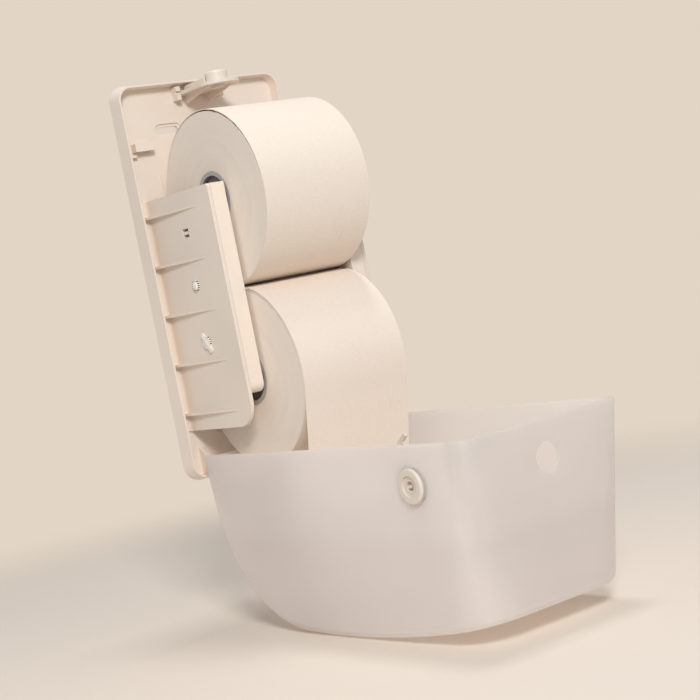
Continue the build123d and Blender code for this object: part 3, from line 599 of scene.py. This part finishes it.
class DISPENSER_OT_rolls(bpy.types.Operator):
    """Wind both rolls of paper, with the last turn of each lying a little loose"""

    bl_idname = "dispenser.rolls"
    bl_label = "Paper Rolls"

    RINGS = 9  # rings of faces on an end, from the gap to the bore
    GAP_DEPTH = 8 * MM  # how far the gap behind the last turn reaches in from an end
    LIP = 1 * MM  # width of the outside's ragged lips
    LEDGE = 0.18 * MM  # how much the turns step in and out at the ends
    RIM = 0.5 * MM  # width round the bore that stays flat
    # Cells of noise: a metre along the roll, round the outside, round the crack, and a metre across and into the turns
    SAG_ALONG, SAG_ROUND, CRACK_ROUND, LEDGE_ACROSS, LEDGE_IN = 26, 2.2, 14, 420, 90
    LIP_FINER = 7  # how much finer the lips' unevenness is than the outside's
    CRACK_SPREAD = 52  # degrees on each side of its widest place over which the gap closes
    TURN_OUT, TURN_EVEN = 0.45, 0.6  # how far the last turn lifts at the crack, and the part of it that is even
    GAP_CLOSED, GAP_EVEN = 0.82, 1.6  # how far the gap closes away from the crack, and opens there
    ROLL_EDGE_ANGLE = math.radians(35)  # edges sharper than this stay sharp
    END_SHIFT = 0.3  # keeps the ends' unrolled pattern clear of the outside's

    def execute(self, context):
        look = context.scene.dispenser_paper
        skins = creped("creped_paper", look), wound_edge("wound_edges", look)
        for node, jagged in (("upper_roll", 1.0), ("lower_roll", 0.3)):
            roll = self.wind(look, node, jagged)
            for skin in skins:
                roll.data.materials.append(skin)
            for face in roll.data.polygons:
                face.material_index = int(abs(face.normal.x) > END_FACE)
            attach(roll, node)
            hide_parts(node)
        return {"FINISHED"}

    def wind(self, look, node, jagged):
        """A ring with a loose last turn, stepped ends and an open bore, made from one cylinder."""
        centre, radius, width, bore = roll_sizes(node)
        last_turn = radius - look.loose_turn
        wound = last_turn - look.turn_gap
        let_go()
        bpy.ops.mesh.primitive_cylinder_add(
            vertices=look.around, radius=radius, depth=width, location=centre, rotation=(0, math.pi / 2, 0)
        )
        roll = bpy.context.object
        roll.name = roll.data.name = "wound_" + node
        bpy.ops.object.transform_apply(location=True, rotation=True, scale=True)
        pick(roll, "EDGE", lambda edge: self.runs_along(roll, edge, width))
        bpy.ops.mesh.subdivide(number_cuts=look.along)
        pick(roll, "FACE", lambda face: len(face.vertices) == look.around)
        for step in [look.loose_turn, look.turn_gap] + [(wound - bore) / self.RINGS] * self.RINGS:
            bpy.ops.mesh.inset(thickness=step)
        bpy.ops.mesh.delete(type="ONLY_FACE")
        bpy.ops.object.mode_set(mode="OBJECT")
        for side in (-1, 1):
            pick(roll, "FACE", lambda face: self.in_gap(face, centre, side, wound, last_turn))
            bpy.ops.mesh.extrude_region_move(TRANSFORM_OT_translate={"value": (-side * self.GAP_DEPTH, 0, 0)})
        pick(roll, "EDGE", lambda edge: self.on_bore(roll, edge, centre, bore))
        bpy.ops.mesh.bridge_edge_loops()
        bpy.ops.mesh.select_all(action="SELECT")
        bpy.ops.mesh.remove_doubles(threshold=0.001 * MM)
        bpy.ops.mesh.normals_make_consistent(inside=False)
        bpy.ops.object.mode_set(mode="OBJECT")
        self.loosen(roll, look, centre, radius, width, bore, jagged)
        bpy.ops.object.shade_smooth_by_angle(angle=self.ROLL_EDGE_ANGLE)
        lay_uv(roll, centre, radius, self.END_SHIFT)
        return roll

    @staticmethod
    def runs_along(roll, edge, width):
        """True for the long edges of the outside."""
        ends = [roll.data.vertices[v].co for v in edge.vertices]
        return abs(ends[0].x - ends[1].x) > width * 0.9

    @staticmethod
    def in_gap(face, centre, side, low, high):
        """True for the narrow ring behind the last turn at one end."""
        away = math.hypot(face.center.y - centre.y, face.center.z - centre.z)
        return low < away < high and (face.center.x - centre.x) * side > 0 and face.normal.x * side > 0.9

    @staticmethod
    def on_bore(roll, edge, centre, bore):
        """True for the two open rings round the bore."""
        ends = [roll.data.vertices[v].co for v in edge.vertices]
        return all(abs(math.hypot(p.y - centre.y, p.z - centre.z) - bore) < NEAR / 2 for p in ends)

    def loosen(self, roll, look, centre, radius, width, bore, jagged):
        """Lets the outside sag in soft waves, steps the ends and wanders the gap behind the last turn."""
        last_turn = radius - look.loose_turn
        for vertex in roll.data.vertices:
            from_axis = vertex.co - centre
            away = math.hypot(from_axis.y, from_axis.z)
            angle = math.atan2(from_axis.z, from_axis.y)
            moved = away
            if away > radius - NEAR:
                moved = away - self.sunk(look, from_axis, angle, width, jagged)
            elif away > last_turn - look.turn_gap - NEAR:
                moved = away + self.crack(look, angle, away > last_turn - NEAR, jagged)
            elif away > bore + self.RIM:
                uneven = unevenness(away * self.LEDGE_ACROSS, from_axis.x * self.LEDGE_IN, 3)
                vertex.co.x -= math.copysign(self.LEDGE * (0.5 + uneven), from_axis.x)
            vertex.co.y = centre.y + from_axis.y * moved / away
            vertex.co.z = centre.z + from_axis.z * moved / away

    def sunk(self, look, from_axis, angle, width, jagged):
        """How far the outside sags at a place, less evenly along its two lips."""
        around = Vector((0, math.cos(angle), math.sin(angle))) * self.SAG_ROUND
        spot = Vector((from_axis.x * self.SAG_ALONG, around.y, around.z))
        soft = look.sag * (0.5 + 0.5 * noise.noise(spot))
        if abs(from_axis.x) > width / 2 - self.LIP:
            soft += look.sag * jagged * max(0, noise.noise(spot * self.LIP_FINER))
        return soft

    def crack(self, look, angle, outer, jagged):
        """How far the gap's outer or inner wall moves outwards, to close it away from the crack."""
        ragged = unevenness(math.cos(angle) * self.CRACK_ROUND, math.sin(angle) * self.CRACK_ROUND, 4)
        turned = (math.degrees(angle) - look.crack_at + 180) % 360 - 180
        slack = jagged * math.exp(-((turned / self.CRACK_SPREAD) ** 2))
        if outer:
            return look.loose_turn * self.TURN_OUT * slack * (self.TURN_EVEN + ragged)
        return look.turn_gap * (self.GAP_CLOSED - slack * (self.GAP_EVEN + ragged))


class DISPENSER_OT_tail(bpy.types.Operator):
    """Hang the loose end of the lower roll's paper down its front"""

    bl_idname = "dispenser.tail"
    bl_label = "Loose End"

    PARTS_AT, LEAVES_AT = math.radians(106), math.radians(184)  # where it parts from the turns and from the roll
    HANG = (5.6, 32), (11, 55), (17.5, 80), (23, 112)  # back from the roll's front and down from its axis, in mm
    ON_ROLL, IN_SPAN, ACROSS = 60, 24, 96  # faces on the roll, between two places of HANG and across the sheet
    STANDS_OFF = 0.65 * MM  # from the roll to the middle of the sheet
    THICKNESS = 0.22 * MM
    RIPPLE, RIPPLE_ACROSS, RIPPLE_DOWN = 0.12 * MM, 40, 60  # small waves all over, with their cells a metre
    FLUTTER, FLUTTER_ACROSS, FLUTTER_DOWN = 0.9 * MM, 24, 9  # larger waves towards the torn edge
    TORN = 1.1 * MM  # depth of the teeth along the torn edge

    def execute(self, context):
        look = context.scene.dispenser_paper
        centre, radius, width, _ = roll_sizes("lower_roll")
        line = self.route(centre, radius + self.STANDS_OFF)
        last = len(line) - 1
        run = [0.0]
        for before, after in zip(line, line[1:]):
            run.append(run[-1] + (after - before).length)
        let_go()
        bpy.ops.mesh.primitive_grid_add(x_subdivisions=self.ACROSS, y_subdivisions=last, size=1)
        tail = bpy.context.object
        tail.name = tail.data.name = "loose_end"
        spots = {}
        for vertex in tail.data.vertices:
            place = round((0.5 - vertex.co.y) * last)
            x = vertex.co.x * width
            spots[vertex.index] = (x, self.PARTS_AT * radius + run[place])
            along = (line[min(place + 1, last)] - line[max(place - 1, 0)]).normalized()
            outward = Vector((0, along.z, -along.y))
            free = run[place] / run[-1]
            wave = self.RIPPLE * (1 + unevenness(x * self.RIPPLE_ACROSS, run[place] * self.RIPPLE_DOWN, 1))
            wave += self.FLUTTER * free**6 * unevenness(x * self.FLUTTER_ACROSS, run[place] * self.FLUTTER_DOWN, 5)
            tooth = abs((x / look.torn_pitch) % 1 - 0.5) * 2
            torn = self.TORN * tooth if place == last else 0
            vertex.co = line[place] + outward * wave - along * torn
            vertex.co.x = centre.x + x
        layer = tail.data.uv_layers.get("wound") or tail.data.uv_layers.new(name="wound")
        for corner in tail.data.loops:
            layer.data[corner.index].uv = spots[corner.vertex_index]
        bpy.ops.object.mode_set(mode="EDIT")
        bpy.ops.mesh.select_all(action="SELECT")
        bpy.ops.mesh.normals_make_consistent(inside=False)
        bpy.ops.object.mode_set(mode="OBJECT")
        thick = tail.modifiers.new("two plies", "SOLIDIFY")
        thick.thickness = self.THICKNESS
        thick.offset = 0
        bpy.ops.object.modifier_apply(modifier=thick.name)
        bpy.ops.object.shade_smooth_by_angle(angle=EDGE_ANGLE)
        tail.data.materials.append(bpy.data.objects["wound_lower_roll"].data.materials[0])
        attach(tail, "chassis")
        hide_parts("paper_tail")
        return {"FINISHED"}

    def route(self, centre, radius):
        """The line that the sheet follows, round the front of the roll and then down with its curl."""
        line = []
        for number in range(self.ON_ROLL + 1):
            angle = self.PARTS_AT + (self.LEAVES_AT - self.PARTS_AT) * number / self.ON_ROLL
            line.append(centre + Vector((0, math.cos(angle), math.sin(angle))) * radius)
        knots = line[-2:]
        knots += [centre + Vector((0, back * MM - radius, -drop * MM)) for back, drop in self.HANG]
        knots.append(knots[-1] + Vector((0, 1 * MM, -10 * MM)))
        for place in range(1, len(knots) - 2):
            before, here, there, after = knots[place - 1 : place + 3]
            gap = (there - here).length
            ahead = there if place > 1 else here
            leaving = (ahead - before).normalized() * gap
            coming = (after - here).normalized() * gap
            for step in range(1, self.IN_SPAN + 1):
                t = step / self.IN_SPAN
                line.append(
                    here * (2 * t**3 - 3 * t**2 + 1)
                    + leaving * (t**3 - 2 * t**2 + t)
                    + there * (3 * t**2 - 2 * t**3)
                    + coming * (t**3 - t**2)
                )
        return line


class DISPENSER_OT_stage(bpy.types.Operator):
    """Set the floor, the lamps and the photograph's camera"""

    bl_idname = "dispenser.stage"
    bl_label = "Stage"

    DAYLIGHT = linear(250, 251, 252)  # of the lamps and of the light from all round
    MIDDLE = Vector((0, -0.12, -0.06))  # what the lamps look at
    KEY_PLACE, KEY_SIZE = (-1.0, -1.9, 1.1), 0.5
    TOP_PLACE, TOP_SIZE = (0.28, -0.15, 1.92), 0.4
    FLOOR_RADIUS, FLOOR_GAP = 4, 0.5 * MM
    FADE_FROM, FADE_TO = 0.38, 0.95  # away from the dispenser, the floor fades out between these
    SENSOR_WIDTH = 36

    def execute(self, context):
        look = context.scene.dispenser_stage
        self.floor(look)
        self.world(context, look)
        self.lamp(context, "key_lamp", self.KEY_PLACE, self.KEY_SIZE, look.key)
        self.lamp(context, "top_lamp", self.TOP_PLACE, self.TOP_SIZE, look.top)
        self.camera(context, look)
        context.scene.view_settings.view_transform = "Standard"
        return {"FINISHED"}

    def floor(self, look):
        """A pale floor that fades into the background away from the dispenser."""
        let_go()
        below = (0, 0, CAD_BOX[0].z - self.FLOOR_GAP)
        bpy.ops.mesh.primitive_circle_add(vertices=96, radius=self.FLOOR_RADIUS, fill_type="NGON", location=below)
        ground = bpy.context.object
        ground.name = "floor"
        made, tree = new_material("floor_paper")
        where = add(tree, "TexCoord").outputs["Object"]
        tooth = grain_of(tree, where, cells=900, detail=3)
        cloud = grain_of(tree, where, cells=2)
        base = blend_colours(tree, spread(tree, cloud, *NOISE), tuple(c * 0.97 for c in look.ground), look.ground)
        relief = bumped(tree, (tooth, 0.02 * MM))
        inputs = {"Base Color": base, "Roughness": 0.9, "Normal": relief, "Specular IOR Level": 0.1}
        paper = add(tree, "BsdfPrincipled", inputs).outputs[0]
        away = add(tree, "VectorMath", {0: where}, operation="LENGTH").outputs["Value"]
        reach = {"Value": away, "From Min": self.FADE_FROM, "From Max": self.FADE_TO}
        fade = add(tree, "MapRange", reach, interpolation_type="SMOOTHERSTEP").outputs[0]
        nothing = add(tree, "BsdfTransparent").outputs[0]
        shade(tree, add(tree, "MixShader", {"Fac": fade, 1: paper, 2: nothing}).outputs[0])
        ground.data.materials.append(made)

    def world(self, context, look):
        """Even light from all round, with the background's own colour where it is seen or mirrored."""
        sky = bpy.data.worlds.new("studio")
        sky.use_nodes = True
        tree = sky.node_tree
        tree.nodes.clear()
        path = add(tree, "LightPath").outputs
        seen = maths(tree, "MAXIMUM", path["Is Camera Ray"], path["Is Glossy Ray"])
        seen = maths(tree, "MAXIMUM", seen, path["Is Transmission Ray"])
        light = add(tree, "Background", {"Color": (*self.DAYLIGHT, 1), "Strength": look.sky}).outputs[0]
        back = add(tree, "Background", {"Color": (*look.backdrop, 1), "Strength": 1.0}).outputs[0]
        both = add(tree, "MixShader", {"Fac": seen, 1: light, 2: back}).outputs[0]
        add(tree, "OutputWorld", {"Surface": both})
        context.scene.world = sky

    def lamp(self, context, name, place, size, power):
        """A square soft lamp that looks at the middle of the dispenser."""
        data = bpy.data.lights.new(name, "AREA")
        data.size = size
        data.energy = power
        data.color = self.DAYLIGHT
        made = bpy.data.objects.new(name, data)
        made.location = place
        made.rotation_euler = (self.MIDDLE - Vector(place)).to_track_quat("-Z", "Y").to_euler()
        context.scene.collection.objects.link(made)

    def camera(self, context, look):
        """The photograph's camera, turned as it was held."""
        data = bpy.data.cameras.new("camera")
        data.lens = look.lens
        data.sensor_width = self.SENSOR_WIDTH
        data.clip_start, data.clip_end = 0.05, 50
        made = bpy.data.objects.new("camera", data)
        sight = Vector(look.camera_sight).normalized()
        right = Vector(look.camera_right)
        right = (right - sight * right.dot(sight)).normalized()
        turned = Matrix((right, right.cross(sight), -sight)).transposed()
        made.matrix_world = Matrix.Translation(look.camera_place) @ turned.to_4x4()
        context.scene.collection.objects.link(made)
        context.scene.camera = made


# The operators in the order in which they run, and the properties by the names that the scene has them under
STEPS = (
    DISPENSER_OT_stage,
    DISPENSER_OT_mouldings,
    DISPENSER_OT_heads,
    DISPENSER_OT_fittings,
    DISPENSER_OT_cover,
    DISPENSER_OT_lock,
    DISPENSER_OT_rolls,
    DISPENSER_OT_tail,
)
LOOKS = {
    "dispenser_finish": DispenserFinish,
    "dispenser_cover": DispenserCover,
    "dispenser_paper": DispenserPaper,
    "dispenser_stage": DispenserStage,
}


class DISPENSER_PT_panel(bpy.types.Panel):
    """Shows a button for each step and the dispenser's sizes and colours"""

    bl_label = "Dispenser"
    bl_idname = "DISPENSER_PT_panel"
    bl_space_type = "VIEW_3D"
    bl_region_type = "UI"
    bl_category = "Dispenser"

    def draw(self, context):
        for step in STEPS:
            self.layout.operator(step.bl_idname)
        for name, group in LOOKS.items():
            box = self.layout.box()
            for entry in group.__annotations__:
                box.prop(getattr(context.scene, name), entry)


def register():
    """Registers the classes and gives the scene its properties."""
    for kind in (*LOOKS.values(), *STEPS, DISPENSER_PT_panel):
        bpy.utils.register_class(kind)
    for name, group in LOOKS.items():
        setattr(bpy.types.Scene, name, PointerProperty(type=group))


def unregister():
    """Takes the properties and the classes away again."""
    for name in LOOKS:
        delattr(bpy.types.Scene, name)
    for kind in reversed((*LOOKS.values(), *STEPS, DISPENSER_PT_panel)):
        bpy.utils.unregister_class(kind)


def main():
    """Runs every operator once."""
    register()
    for step in STEPS:
        family, name = step.bl_idname.split(".")
        getattr(getattr(bpy.ops, family), name)()
    bpy.context.view_layer.update()


if __name__ == "__main__":
    main()
